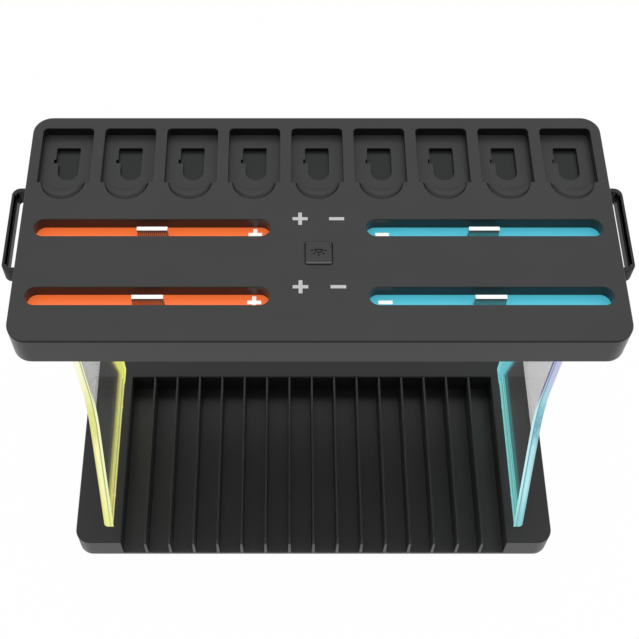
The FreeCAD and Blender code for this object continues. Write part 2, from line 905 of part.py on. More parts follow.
def connector_contacts():
    """The contact strips of all four tongues."""
    strips = []
    for x, y in slot_places().values():
        strips += contact_strips(x, y)
    return Part.makeCompound(strips)


def main_board():
    """The charging board, with a tongue that carries the power inlet to the rear wall."""
    board = block(-board_half, board_half, board_front_y, board_rear_y, board_under_z, board_top_z)
    tongue_half = board_tongue_width / 2
    tongue_rear_y = tray_rear_y - tray_wall - board_tongue_gap
    tongue = block(-tongue_half, tongue_half, board_rear_y, tongue_rear_y, board_under_z, board_top_z)
    holes = []
    for x in post_xs:
        for y in post_ys:
            holes.append(
                upright(x, y, board_under_z - overrun, board_top_z + overrun, screw_radius + screw_gap)
            )
    return joined([board, tongue]).cut(holes)


def board_screws():
    """The screws that hold the board on its posts."""
    length = board_top_z - cover_top_z - overrun
    screws = []
    for x in post_xs:
        for y in post_ys:
            screws.append(screw(Vector(x, y, board_top_z - length), Vector(0, 0, 1), length))
    return Part.makeCompound(screws)


def board_chips():
    """Charge controllers on top of the board, and their coils under it."""
    chips = []
    chip_y = (front_slot_y + button_y) / 2
    for x in (-chip_spread, chip_spread):
        for y in (chip_y, rear_slot_y):
            chips.append(
                block(
                    x - chip_side / 2, x + chip_side / 2, y - chip_side / 2, y + chip_side / 2,
                    board_top_z, board_top_z + chip_height,
                )
            )
            chips.append(
                rounded_block(
                    x - coil_side / 2, x + coil_side / 2, y - coil_side / 2, y + coil_side / 2,
                    board_under_z - coil_height, board_under_z, coil_side / 4,
                )
            )
    return Part.makeCompound(chips)


def panel_lights():
    """The light chips on the underside of the board, over the right panel's top edge."""
    pitch = (panel_rear_y - panel_neck_y) / light_count
    chips = []
    for number in range(light_count):
        y = panel_neck_y + pitch * (number + 0.5)
        if y + light_length / 2 < board_rear_y:
            chips.append(
                block(
                    panel_middle_x - light_width / 2, panel_middle_x + light_width / 2,
                    y - light_length / 2, y + light_length / 2, light_under_z, board_under_z,
                )
            )
    return Part.makeCompound(chips)


def button_cap():
    """The square key with a retaining flange and a stem down to the switch."""
    half = button_side / 2
    top_z = tray_top_z + button_proud
    flange_top_z = skin_under_z - button_flange_gap
    flange_low_z = flange_top_z - button_flange_height
    key = rounded_block(
        -half, half, button_y - half, button_y + half, flange_low_z, top_z, button_corner_radius
    )
    key = softened(key, top_z, button_edge_round)
    wide = half + button_flange_rim
    flange = rounded_block(
        -wide, wide, button_y - wide, button_y + wide, flange_low_z, flange_top_z, button_corner_radius
    )
    plunger_top_z = board_top_z + switch_height + plunger_lift
    stem = upright(0.0, button_y, plunger_top_z, flange_low_z, stem_radius)
    return joined([key, flange, stem])


def switch_body():
    """The switch under the button, with a well for its plunger."""
    half = switch_side / 2
    top_z = board_top_z + switch_height
    body = block(-half, half, button_y - half, button_y + half, board_top_z, top_z)
    well_z = top_z - plunger_seat - button_travel - plunger_spare
    return body.cut(upright(0.0, button_y, well_z, top_z + overrun, plunger_radius + plunger_gap))


def switch_plunger():
    """The switch's round plunger, which the button's stem stands on."""
    top_z = board_top_z + switch_height
    return upright(0.0, button_y, top_z - plunger_seat, top_z + plunger_lift, plunger_radius)


def inlet_shell():
    """The metal shell of the power inlet, under the board's tongue and open to the rear."""
    half = inlet_width / 2
    shell = rounded_block(
        -half, half, inlet_low_z, inlet_top_z, 0.0, inlet_length, inlet_height / 2 * inlet_corner_share
    )
    bore_radius = (inlet_height / 2 - inlet_wall) * inlet_corner_share
    bore = rounded_block(
        inlet_wall - half, half - inlet_wall, inlet_low_z + inlet_wall, inlet_top_z - inlet_wall,
        -overrun, inlet_length - inlet_wall, bore_radius,
    )
    shell = shell.cut(bore)
    shell.rotate(Vector(0, 0, 0), Vector(1, 0, 0), 90)
    shell.translate(Vector(0, inlet_rear_y, 0))
    return shell


def inlet_tongue():
    """The plastic tongue inside the power inlet, on a block at the back of its shell."""
    half = inlet_tongue_width / 2
    middle_z = (inlet_low_z + inlet_top_z) / 2
    back_y = inlet_front_y + inlet_wall
    tongue = block(
        -half, half, back_y, inlet_rear_y - inlet_back_length, middle_z - inlet_tongue_height / 2,
        middle_z + inlet_tongue_height / 2,
    )
    back = block(
        -half, half, back_y, back_y + inlet_back_length, inlet_low_z + inlet_wall, inlet_top_z - inlet_wall
    )
    return joined([tongue, back])


def hanger_loop():
    """The right U band, with a rebate along its bar and barbs on its arms that stop against the tray's wall."""
    inner_radius = loop_corner_radius - loop_bar
    blank = rounded_block(
        loop_end_x - 2 * loop_corner_radius, loop_outer_x, loop_front_y, loop_rear_y, loop_low_z,
        loop_high_z, loop_corner_radius,
    )
    window = rounded_block(
        loop_end_x - 3 * loop_corner_radius, loop_outer_x - loop_bar, loop_front_y + loop_bar,
        loop_rear_y - loop_bar, loop_low_z - overrun, loop_high_z + overrun, inner_radius,
    )
    surplus = block(
        loop_end_x - 3 * loop_corner_radius, loop_end_x, loop_front_y - overrun, loop_rear_y + overrun,
        loop_low_z - overrun, loop_high_z + overrun,
    )
    rebate = block(
        loop_outer_x - 2 * loop_bar, loop_outer_x - loop_bar + loop_rebate_width,
        loop_front_y + loop_corner_radius, loop_rear_y - loop_corner_radius,
        loop_high_z - loop_rebate_height, loop_high_z + overrun,
    )
    band = blank.cut([window, surplus, rebate])
    band = softened(band, loop_high_z, loop_edge_round)
    barb_x = loop_end_x + loop_barb_length
    front_barb_y = loop_front_y + loop_bar
    rear_barb_y = loop_rear_y - loop_bar
    barb_high_z = loop_high_z - loop_edge_round
    barbs = [
        block(loop_end_x, barb_x, front_barb_y, front_barb_y + loop_barb_depth, loop_low_z, barb_high_z),
        block(loop_end_x, barb_x, rear_barb_y - loop_barb_depth, rear_barb_y, loop_low_z, barb_high_z),
    ]
    return joined([band] + barbs)


def build():
    """Every piece of the station by name."""
    pieces = {
        "base_plate": base_plate(),
        "base_frame": base_frame(),
        "case_dividers": case_dividers(),
        "base_feet": base_feet(),
        "base_screws": base_screws(),
        "right_side_panel": side_panel(),
        "left_side_panel": mirrored(side_panel()),
        "panel_foot_screws": panel_foot_screws(),
        "panel_top_screws": panel_top_screws(),
        "tray_top_cover": tray_top_cover(),
        "tray_bottom_cover": tray_bottom_cover(),
        "cover_screws": cover_screws(),
        "connector_contacts": connector_contacts(),
        "main_board": main_board(),
        "board_screws": board_screws(),
        "board_chips": board_chips(),
        "right_lights": panel_lights(),
        "left_lights": mirrored(panel_lights()),
        "button_cap": button_cap(),
        "switch_body": switch_body(),
        "switch_plunger": switch_plunger(),
        "inlet_shell": inlet_shell(),
        "inlet_tongue": inlet_tongue(),
        "right_hanger_loop": hanger_loop(),
        "left_hanger_loop": mirrored(hanger_loop()),
    }
    for name, (x, y) in slot_places().items():
        pieces[name + "_pad"] = slot_pad(x, y)
        pieces[name + "_connector"] = connector(x, y)
    return pieces


os.makedirs("parts", exist_ok=True)
for node, shape in build().items():
    shape.exportStep(os.path.join("parts", node + ".step"))
    print(node, len(shape.Solids), "solids", round(shape.Volume), "mm3", "valid" if shape.isValid() else "NOT VALID")
print("loop travel", round(loop_travel, 2))
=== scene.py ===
"""Looks of the charging station organizer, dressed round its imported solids.

Lengths are metres in the part's own frame: +X to the right along the tray, +Y to the rear, +Z up.
"""

import logging
import math
from dataclasses import dataclass
from enum import Enum

import bpy
import numpy as np
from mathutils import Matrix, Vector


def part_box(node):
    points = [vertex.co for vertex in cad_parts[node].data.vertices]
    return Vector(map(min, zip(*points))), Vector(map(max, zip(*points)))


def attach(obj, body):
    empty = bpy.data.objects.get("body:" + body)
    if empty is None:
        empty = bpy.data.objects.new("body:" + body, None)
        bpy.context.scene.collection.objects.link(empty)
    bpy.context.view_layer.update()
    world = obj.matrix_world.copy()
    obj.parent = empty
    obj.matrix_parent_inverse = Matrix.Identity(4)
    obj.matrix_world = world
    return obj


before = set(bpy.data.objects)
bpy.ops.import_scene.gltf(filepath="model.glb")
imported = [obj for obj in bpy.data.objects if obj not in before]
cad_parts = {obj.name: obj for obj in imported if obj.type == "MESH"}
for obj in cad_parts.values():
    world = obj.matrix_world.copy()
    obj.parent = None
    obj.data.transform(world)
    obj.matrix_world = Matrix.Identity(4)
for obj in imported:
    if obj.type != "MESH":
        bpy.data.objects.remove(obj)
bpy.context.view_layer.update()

LOG = logging.getLogger("station")
MM = 0.001

Array = np.ndarray
Socket = bpy.types.NodeSocket
Triple = tuple[float, float, float]
Colour = Triple
# Where a value starts to climb and where it is full.
Span = tuple[float, float]
# The middle of a soft line and half its width.
Line = tuple[float, float]

BLACK: Colour = (0.0, 0.0, 0.0)
WHITE: Colour = (1.0, 1.0, 1.0)
ROWS = ("front", "rear")

# The display's curve: straight up to a knee, and above it a power of the shifted value.
DISPLAY_FULL = 255
DISPLAY_KNEE = 0.04045
DISPLAY_SLOPE = 12.92
DISPLAY_SHIFT = 0.055
DISPLAY_POWER = 2.4

# How much of a soft line's half width is at full strength.
LINE_CORE_SHARE = 0.3
# How far down and in the middle ring of a softened edge lies.
SOFT_RING_SHARE = 0.3


def shown(red: int, green: int, blue: int) -> Colour:
    """Turn a displayed colour into linear light.

    Args:
        red: Displayed red, 0 to 255.
        green: Displayed green, 0 to 255.
        blue: Displayed blue, 0 to 255.

    Returns:
        The linear colour that the Standard view shows as that value.
    """
    parts = np.array((red, green, blue)) / DISPLAY_FULL
    curve = ((parts + DISPLAY_SHIFT) / (1 + DISPLAY_SHIFT)) ** DISPLAY_POWER
    linear = np.where(parts <= DISPLAY_KNEE, parts / DISPLAY_SLOPE, curve)
    return tuple(float(part) for part in linear)


def opaque(colour: Colour) -> tuple[float, float, float, float]:
    """The colour with full cover, as a colour socket takes it."""
    return (*colour, 1.0)


def scaled(colour: Colour, share: float) -> Colour:
    """The colour made darker or lighter."""
    return tuple(part * share for part in colour)


class Term:
    """A number socket that takes part in Python arithmetic by adding Math nodes."""

    def __init__(self, sheet: "NodeSheet", socket: Socket) -> None:
        """Keep the socket and the sheet that new nodes go on."""
        self.sheet = sheet
        self.socket = socket

    def _math(self, operation: str, *operands: "Term | float") -> "Term":
        """Add one Math node.

        Args:
            operation: The Math node's operation.
            operands: Its inputs in order.

        Returns:
            The node's result.
        """
        inputs = dict(enumerate(operands))
        made = self.sheet.node("ShaderNodeMath", {"operation": operation}, inputs)
        return Term(self.sheet, made.outputs[0])

    def __add__(self, other: "Term | float") -> "Term":
        """This plus other."""
        return self._math("ADD", self, other)

    def __radd__(self, other: float) -> "Term":
        """A number plus this."""
        return self._math("ADD", other, self)

    def __sub__(self, other: "Term | float") -> "Term":
        """This less other."""
        return self._math("SUBTRACT", self, other)

    def __rsub__(self, other: float) -> "Term":
        """A number less this."""
        return self._math("SUBTRACT", other, self)

    def __mul__(self, other: "Term | float") -> "Term":
        """This times other."""
        return self._math("MULTIPLY", self, other)

    def __truediv__(self, other: "Term | float") -> "Term":
        """This over other."""
        return self._math("DIVIDE", self, other)

    def __abs__(self) -> "Term":
        """This without its sign."""
        return self._math("ABSOLUTE", self)

    def at_most(self, other: "Term | float") -> "Term":
        """The smaller of this and other."""
        return self._math("MINIMUM", self, other)

    def fraction(self) -> "Term":
        """What is left of this above the whole number below it."""
        return self._math("FRACT", self)

    def rise(self, start: float, end: float) -> "Term":
        """Climb smoothly from 0 to 1.

        Args:
            start: The value at which the result is still 0.
            end: The value at which the result is 1; below start, the climb runs backwards.

        Returns:
            The smooth step of this value.
        """
        inputs = {
            "Value": self,
            "From Min": min(start, end),
            "From Max": max(start, end),
            "To Min": 0.0 if start < end else 1.0,
            "To Max": 1.0 if start < end else 0.0,
        }
        made = self.sheet.node(
            "ShaderNodeMapRange", {"interpolation_type": "SMOOTHSTEP"}, inputs
        )
        return Term(self.sheet, made.outputs[0])

    def band(self, middle: float, half: float) -> "Term":
        """A soft line: 1 at middle and 0 from half a width away on."""
        return abs(self - middle).rise(half, half * LINE_CORE_SHARE)

    def varied(self, least: float) -> "Term":
        """This, from 0 to 1, squeezed into least to 1."""
        return least + self * (1 - least)


class NodeSheet:
    """A node tree that is filled through one method."""

    def __init__(self, tree: bpy.types.NodeTree) -> None:
        """Clear the tree and keep it."""
        self.tree = tree
        self.tree.nodes.clear()

    def node(
        self, kind: str, settings: dict[str, object], inputs: dict[str | int, object]
    ) -> bpy.types.Node:
        """Add one node.

        Args:
            kind: The node's type name.
            settings: Its properties, set before its sockets.
            inputs: Values, terms or sockets by input name or number.

        Returns:
            The new node.
        """
        made = self.tree.nodes.new(kind)
        for key, value in settings.items():
            setattr(made, key, value)
        for key, value in inputs.items():
            socket = made.inputs[key]
            if isinstance(value, Term):
                self.tree.links.new(value.socket, socket)
            elif isinstance(value, Socket):
                self.tree.links.new(value, socket)
            else:
                socket.default_value = value
        return made

    def coordinate(self, kind: str) -> Socket:
        """One output of a Texture Coordinate node."""
        return self.node("ShaderNodeTexCoord", {}, {}).outputs[kind]

    def split(self, vector: Socket) -> tuple[Term, Term, Term]:
        """The three parts of a vector."""
        parts = self.node("ShaderNodeSeparateXYZ", {}, {0: vector}).outputs
        return tuple(Term(self, part) for part in parts)

    def axes(self) -> tuple[Term, Term, Term]:
        """The three coordinates of the point on the piece, in the part's frame."""
        return self.split(self.coordinate("Object"))

    def facing(self) -> tuple[Term, Term, Term]:
        """The three parts of the piece's own surface normal."""
        return self.split(self.coordinate("Normal"))

    def noise(self, size: Triple, detail: float = 2.0) -> Term:
        """Cloudy noise.

        Args:
            size: Length of one cloud along each axis.
            detail: How many finer layers are added.

        Returns:
            Values round one half.
        """
        stretch = tuple(1 / length for length in size)
        point = self.node(
            "ShaderNodeMapping",
            {"vector_type": "POINT"},
            {"Vector": self.coordinate("Object"), "Scale": stretch},
        )
        made = self.node(
            "ShaderNodeTexNoise", {}, {"Vector": point.outputs[0], "Scale": 1.0, "Detail": detail}
        )
        return Term(self, made.outputs[0])

    def mix(self, factor: Term, first: Colour | Socket, second: Colour | Socket) -> Socket:
        """Blend two colours.

        Args:
            factor: 0 for the first colour and 1 for the second.
            first: A colour or a colour socket.
            second: A colour or a colour socket.

        Returns:
            The blended colour.
        """
        ends = [opaque(end) if isinstance(end, tuple) else end for end in (first, second)]
        made = self.node(
            "ShaderNodeMix", {"data_type": "RGBA"}, {0: factor, 6: ends[0], 7: ends[1]}
        )
        return made.outputs[2]

    def bump(self, height: Term, depth: float, strength: float) -> Socket:
        """The normal of a surface that a height between 0 and 1 lifts by depth."""
        made = self.node(
            "ShaderNodeBump", {}, {"Height": height, "Distance": depth, "Strength": strength}
        )
        return made.outputs[0]

    def principled(self, inputs: dict[str, object]) -> bpy.types.Node:
        """A Principled shader with these inputs."""
        return self.node("ShaderNodeBsdfPrincipled", {}, inputs)

    def mix_shaders(
        self, factor: Term, first: bpy.types.Node, second: bpy.types.Node
    ) -> bpy.types.Node:
        """A shader that is the first one at 0 and the second one at 1."""
        inputs = {0: factor, 1: first.outputs[0], 2: second.outputs[0]}
        return self.node("ShaderNodeMixShader", {}, inputs)


@dataclass(frozen=True)
class Finish:
    """A named finish; each kind of finish makes its own shader."""

    name: str

    def material(self) -> bpy.types.Material:
        """A new material that ends in this finish's shader."""
        material = bpy.data.materials.new(self.name)
        material.use_nodes = True
        sheet = NodeSheet(material.node_tree)
        last = self.shader(sheet)
        sheet.node("ShaderNodeOutputMaterial", {}, {"Surface": last.outputs[0]})
        return material

    def shader(self, sheet: NodeSheet) -> bpy.types.Node:
        """Lay the finish's nodes and give the last shader."""
        raise NotImplementedError


@dataclass(frozen=True)
class MouldedPlastic(Finish):
    """Moulded plastic with a spark-eroded grain, clouds in its shade and an uneven sheen."""

    colour: Colour
    roughness: float = 0.3
    gloss: float = 0.25
    grain: float = 0.45 * MM
    depth: float = 0.015 * MM
    cloud: float = 0.05
    # glow: painted light, given off in the surface's own colour.
    glow: float = 0.0
    cloud_size: Triple = (38 * MM, 24 * MM, 24 * MM)
    cloud_detail: float = 4.0
    cloud_share: float = 0.6
    cloud_span: Span = (0.3, 0.7)
    cloud_sheen: float = 0.06
    grain_detail: float = 3.0
    grain_sheen: float = 0.04
    grain_strength: float = 0.5

    def shader(self, sheet: NodeSheet) -> bpy.types.Node:
        """Grain lifts the surface, and clouds shade its colour and its roughness."""
        grain = sheet.noise((self.grain,) * 3, self.grain_detail)
        clouds = sheet.noise(self.cloud_size, self.cloud_detail)
        shade = clouds * self.cloud_share + grain * (1 - self.cloud_share)
        darker = scaled(self.colour, 1 - self.cloud)
        lighter = scaled(self.colour, 1 + self.cloud)
        colour = self.shaded(sheet, sheet.mix(shade.rise(*self.cloud_span), darker, lighter))
        smoothest = self.roughness - (self.cloud_sheen + self.grain_sheen) / 2
        return sheet.principled(
            {
                "Base Color": colour,
                "Roughness": smoothest + clouds * self.cloud_sheen + grain * self.grain_sheen,
                "Specular IOR Level": self.gloss,
                "Normal": sheet.bump(grain, self.depth, self.grain_strength),
                "Emission Color": colour,
                "Emission Strength": self.glow,
                "Coat Weight": self.coated(sheet),
            }
        )

    def shaded(self, sheet: NodeSheet, colour: Socket) -> Socket:
        """The colour as it is; a finish with areas of its own changes it here."""
        return colour

    def coated(self, sheet: NodeSheet) -> Term | float:
        """How much clear coat lies on the surface: none, unless a finish says otherwise."""
        return 0.0


@dataclass(frozen=True)
class TrayPlastic(MouldedPlastic):
    """The tray's plastic: a darker lining on the card pockets' floors, and painted shade on the
    wells' walls, over the finger scoops and round the scoops' rims.
    """

    pocket_level: float = 0.0
    deck: float = 0.0
    lining: Colour = (0.0185, 0.021, 0.021)
    # Painted shade: a near black laid over the wells' walls, the scoops and the scoops' rims.
    painted_shade: Colour = (0.004, 0.004, 0.004)
    scoop_front: float = 26.5 * MM
    wells_front: float = 38.0 * MM
    wells_rear: float = 73.0 * MM
    wells_half: float = 136.5 * MM
    soft: float = 0.4 * MM
    sunk_depth: Span = (0.05 * MM, 0.2 * MM)
    rim_depth: Span = (1.2 * MM, 0.7 * MM)
    floor_facing: Span = (0.7, 0.9)
    wall_facing: Span = (0.6, 0.3)
    scoop_facing: Span = (0.05, 0.2)
    wall_shade: float = 0.72
    scoop_shade: float = 0.28
    rim_shade: float = 0.97

    def shaded(self, sheet: NodeSheet, colour: Socket) -> Socket:
        """The pockets' lining, then painted shade on the wells' walls, over the scoops and round
        their rims.
        """
        across, along, height = sheet.axes()
        up = sheet.facing()[2]
        depth = self.deck - height
        lined = height.band(self.pocket_level, self.soft) * up.rise(*self.floor_facing)
        colour = sheet.mix(lined, colour, self.lining)
        between = abs(across).rise(self.wells_half + self.soft, self.wells_half)
        sunk = depth.rise(*self.sunk_depth) * between
        inside = along.rise(self.wells_front, self.wells_front + self.soft)
        before_rear = along.rise(self.wells_rear + self.soft, self.wells_rear)
        walls = sunk * inside * before_rear * up.rise(*self.wall_facing)
        # Painted shade on the wells' walls.
        colour = sheet.mix(walls * self.wall_shade, colour, self.painted_shade)
        behind_front = along.rise(self.scoop_front, self.scoop_front + self.soft)
        scoop = sunk * (1 - inside) * behind_front * up.rise(*self.scoop_facing)
        # Painted shade over the finger scoops.
        colour = sheet.mix(scoop * self.scoop_shade, colour, self.painted_shade)
        rim = scoop * depth.rise(*self.rim_depth)
        # Painted shade round the scoops' rims.
        return sheet.mix(rim * self.rim_shade, colour, self.painted_shade)


@dataclass(frozen=True)
class LoopPlastic(MouldedPlastic):
    """The loops' plastic: polished, with painted shade that blackens the rebate along the top of
    the inner side.
    """

    step: float = 0.0
    step_soft: float = 0.1 * MM
    reach: float = 1.0
    # Painted shade: a near black laid over the rebate, where the wall faces the tray.
    rebate: Colour = (0.004, 0.004, 0.004)
    polish: float = 0.3
    inner_facing: Span = (0.5, 0.8)

    def _rebated(self, sheet: NodeSheet) -> Term:
        """1 above the step where the surface faces the tray, whichever side the loop is on."""
        across, _, height = sheet.axes()
        inward = (across * sheet.facing()[0] / -self.reach).rise(*self.inner_facing)
        return inward * height.rise(self.step - self.step_soft, self.step + self.step_soft)

    def shaded(self, sheet: NodeSheet, colour: Socket) -> Socket:
        """Painted shade in the rebate."""
        return sheet.mix(self._rebated(sheet), colour, self.rebate)

    def coated(self, sheet: NodeSheet) -> Term:
        """Polish all over except in the rebate."""
        return self.polish - self._rebated(sheet) * self.polish


@dataclass(frozen=True)
class KeyPlastic(MouldedPlastic):
    """The button's plastic, with a painted highlight along the front edge."""

    # Painted highlight: a paler colour on the turn from the top to the front.
    painted_highlight: Colour = (0.19, 0.191, 0.193)
    front_facing: Span = (-0.08, -0.35)
    top_facing: Span = (-0.1, 0.1)

    def shaded(self, sheet: NodeSheet, colour: Socket) -> Socket:
        """The painted highlight where the surface turns from the top to the front."""
        _, front, up = sheet.facing()
        turned = front.rise(*self.front_facing) * up.rise(*self.top_facing)
        return sheet.mix(turned, colour, self.painted_highlight)


@dataclass(frozen=True)
class LitCapTongue(Finish):
    """A connector with a pale cap over a darker body that holds the contacts; the pale top over
    darker sides is partly a real pale cap and partly painted light on the top and painted shade on
    the sides.
    """

    cap: Colour
    body: Colour
    cap_height: float
    top: float
    # Painted light: the cap glows in its own colour.
    glow: float = 0.22
    seam_soft: float = 0.03 * MM
    roughness: float = 0.32
    grain: float = 0.3 * MM
    grain_sheen: float = 0.1
    grain_strength: float = 0.3
    depth: float = 0.01 * MM

    def shader(self, sheet: NodeSheet) -> bpy.types.Node:
        """The cap's colour above a level line and the body's under it, and a painted glow in the
        cap.
        """
        height = sheet.axes()[2]
        grain = sheet.noise((self.grain,) * 3)
        seam = self.top - self.cap_height
        capped = height.rise(seam - self.seam_soft, seam + self.seam_soft)
        return sheet.principled(
            {
                "Base Color": sheet.mix(capped, self.body, self.cap),
                "Roughness": self.roughness + grain * self.grain_sheen,
                "Normal": sheet.bump(grain, self.depth, self.grain_strength),
                "Emission Color": sheet.mix(capped, BLACK, self.cap),
                "Emission Strength": self.glow,
            }
        )


@dataclass(frozen=True)
class WorkedMetal(Finish):
    """Metal with fine lines along one axis, as drawn, rolled or turned pieces have."""

    colour: Colour
    roughness: float
    lines: Triple
    line_detail: float = 3.0
    line_span: Span = (0.35, 0.65)
    line_sheen: float = 0.16
    line_strength: float = 0.4
    dull_share: float = 0.8
    depth: float = 0.01 * MM

    def shader(self, sheet: NodeSheet) -> bpy.types.Node:
        """Stretched noise varies the sheen and scratches the surface."""
        scratches = sheet.noise(self.lines, self.line_detail)
        duller = scaled(self.colour, self.dull_share)
        smoothest = self.roughness - self.line_sheen / 2
        return sheet.principled(
            {
                "Base Color": sheet.mix(scratches.rise(*self.line_span), duller, self.colour),
                "Metallic": 1.0,
                "Roughness": smoothest + scratches * self.line_sheen,
                "Normal": sheet.bump(scratches, self.depth, self.line_strength),
            }
        )


@dataclass(frozen=True)
class CoatedBoard(Finish):
    """A circuit board: green lacquer over copper tracks that run along X and Y."""

    lacquer: Colour
    track: Colour
    pitch: float = 2.4 * MM
    track_span: Span = (0.22, 0.14)
    track_sheen: float = 0.06
    track_strength: float = 0.6
    patch_size: Triple = (14 * MM, 9 * MM, 9 * MM)
    patch_detail: float = 1.0
    patch_span: Span = (0.48, 0.52)
    roughness: float = 0.36
    depth: float = 0.03 * MM

    def _stripes(self, place: Term) -> Term:
        """1 on the track in the middle of each pitch."""
        middle = 1 / 2
        return abs((place / self.pitch).fraction() - middle).rise(*self.track_span)

    def shader(self, sheet: NodeSheet) -> bpy.types.Node:
        """Raised tracks, in patches along X and along Y."""
        across, along, _ = sheet.axes()
        choice = sheet.noise(self.patch_size, self.patch_detail).rise(*self.patch_span)
        tracks = self._stripes(along) * choice + self._stripes(across) * (1 - choice)
        return sheet.principled(
            {
                "Base Color": sheet.mix(tracks, self.lacquer, self.track),
                "Roughness": self.roughness - tracks * self.track_sheen,
                "Normal": sheet.bump(tracks, self.depth, self.track_strength),
            }
        )


@dataclass(frozen=True)
class PrintedInk(Finish):
    """A thin print: even colour with the faint mottle of a screen-printed film."""

    colour: Colour
    roughness: float = 0.55
    # glow: painted light in the ink's own colour.
    glow: float = 0.0
    gloss: float = 0.3
    mottle: float = 0.25 * MM
    mottle_span: Span = (0.35, 0.6)
    mottle_sheen: float = 0.08
    thin_share: float = 0.93

    def shader(self, sheet: NodeSheet) -> bpy.types.Node:
        """Fine mottle in colour and sheen."""
        mottle = sheet.noise((self.mottle,) * 3)
        thin = scaled(self.colour, self.thin_share)
        colour = sheet.mix(mottle.rise(*self.mottle_span), thin, self.colour)
        smoothest = self.roughness - self.mottle_sheen / 2
        return sheet.principled(
            {
                "Base Color": colour,
                "Roughness": smoothest + mottle * self.mottle_sheen,
                "Specular IOR Level": self.gloss,
                "Emission Color": colour,
                "Emission Strength": self.glow,
            }
        )


@dataclass(frozen=True)
class EdgeLight:
    """The colours of the light that leaves one clear panel at its edges, and of the painted light
    on its inner face.
    """

    root: Colour
    body_low: Colour
    body_dim: Colour
    body_high: Colour
    core: Colour
    rim_low: Colour
    rim_high: Colour
    seam: Colour
    line_low: Colour
    line_high: Colour
    brink: Colour
    foot: Colour
    foot_line: Colour
    foot_shade: Colour
    # Painted fill light over the inner face, making up for the light that the glass holds back from
    # what lies behind it.
    rear: Colour
    painted_fill_light: Colour


class Side(Enum):
    """The two side panels: the sign of X on that side."""

    LEFT = -1
    RIGHT = 1

    @property
    def word(self) -> str:
        """The side as names of pieces have it."""
        return self.name.lower()


EDGE_LIGHTS = {
    Side.LEFT: EdgeLight(
        root=shown(228, 234, 122),
        body_low=shown(236, 238, 164),
        body_dim=shown(222, 226, 136),
        body_high=shown(249, 250, 214),
        core=shown(255, 254, 192),
        rim_low=shown(208, 208, 144),
        rim_high=shown(247, 248, 226),
        seam=shown(170, 173, 124),
        line_low=shown(245, 249, 200),
        line_high=shown(252, 251, 222),
        brink=shown(172, 172, 148),
        foot=shown(40, 44, 0),
        foot_line=shown(255, 255, 156),
        foot_shade=shown(153, 157, 75),
        rear=shown(201, 201, 95),
        painted_fill_light=(0.0197, 0.0197, 0.0202),
    ),
    Side.RIGHT: EdgeLight(
        root=shown(112, 190, 190),
        body_low=shown(160, 216, 222),
        body_dim=shown(124, 174, 188),
        body_high=shown(194, 194, 226),
        core=shown(192, 240, 248),
        rim_low=shown(154, 196, 200),
        rim_high=shown(226, 226, 239),
        seam=shown(110, 162, 172),
        line_low=shown(196, 240, 244),
        line_high=shown(190, 186, 230),
        brink=shown(116, 110, 150),
        foot=shown(0, 60, 56),
        foot_line=shown(143, 240, 237),
        foot_shade=shown(42, 104, 105),
        rear=shown(86, 171, 180),
        painted_fill_light=(0.022, 0.0197, 0.0204),
    ),
}


@dataclass(frozen=True)
class FaceLayout:
    """Where painted light lies on a panel's inner face.

    Heights are shares of the foot strip's reach, and the rear strip is a share of its own width.
    """

    inner_facing: Span = (0.5, 0.9)
    foot_reach: float = 26 * MM
    foot_start: Span = (0.05, 0.01)
    foot_lines: tuple[Line, Line] = ((0.14, 0.13), (0.465, 0.09))
    foot_shade: Span = (0.43, 0.53)
    foot_fade: Span = (0.78, 1.04)
    fade_least: float = 0.9
    fade_streaks: float = 0.2
    streak_size: Triple = (6 * MM, 26 * MM, 5 * MM)
    rear_reach: float = 10 * MM
    rear_slope: float = 0.26
    rear_start: Span = (1.08, 0.86)


@dataclass(frozen=True)
class EdgeLayout:
    """Where the colours of a glowing edge lie.

    Depths are shares of the thickness from the inner face, and climbs are shares of the height.
    """

    front_facing: Span = (0.1, -0.1)
    body_climb: Span = (0.55, 0.82)
    rim_climb: Span = (0.46, 0.68)
    rim_depth: Span = (0.72, 0.98)
    core_climb: Span = (0.5, 0.38)
    core_depth: Line = (0.52, 0.28)
    core_streaks: Span = (0.4, 0.62)
    core_least: float = 0.5
    dim_climb: Line = (0.49, 0.13)
    dim_patches: Span = (0.44, 0.6)
    dim_least: float = 0.55
    seam_depth: Line = (0.26, 0.08)
    line_climb: Span = (0.5, 0.82)
    line_depth: Span = (0.22, 0.18)
    brink_climb: Span = (0.54, 0.7)
    brink_depth: Span = (0.15, 0.08)
    root_climb: Span = (0.2, 0.0)
    root_most: float = 0.6
    streak_size: Triple = (0.7 * MM, 9 * MM, 16 * MM)
    patch_size: Triple = (1.6 * MM, 5 * MM, 5 * MM)
    detail: float = 3.0


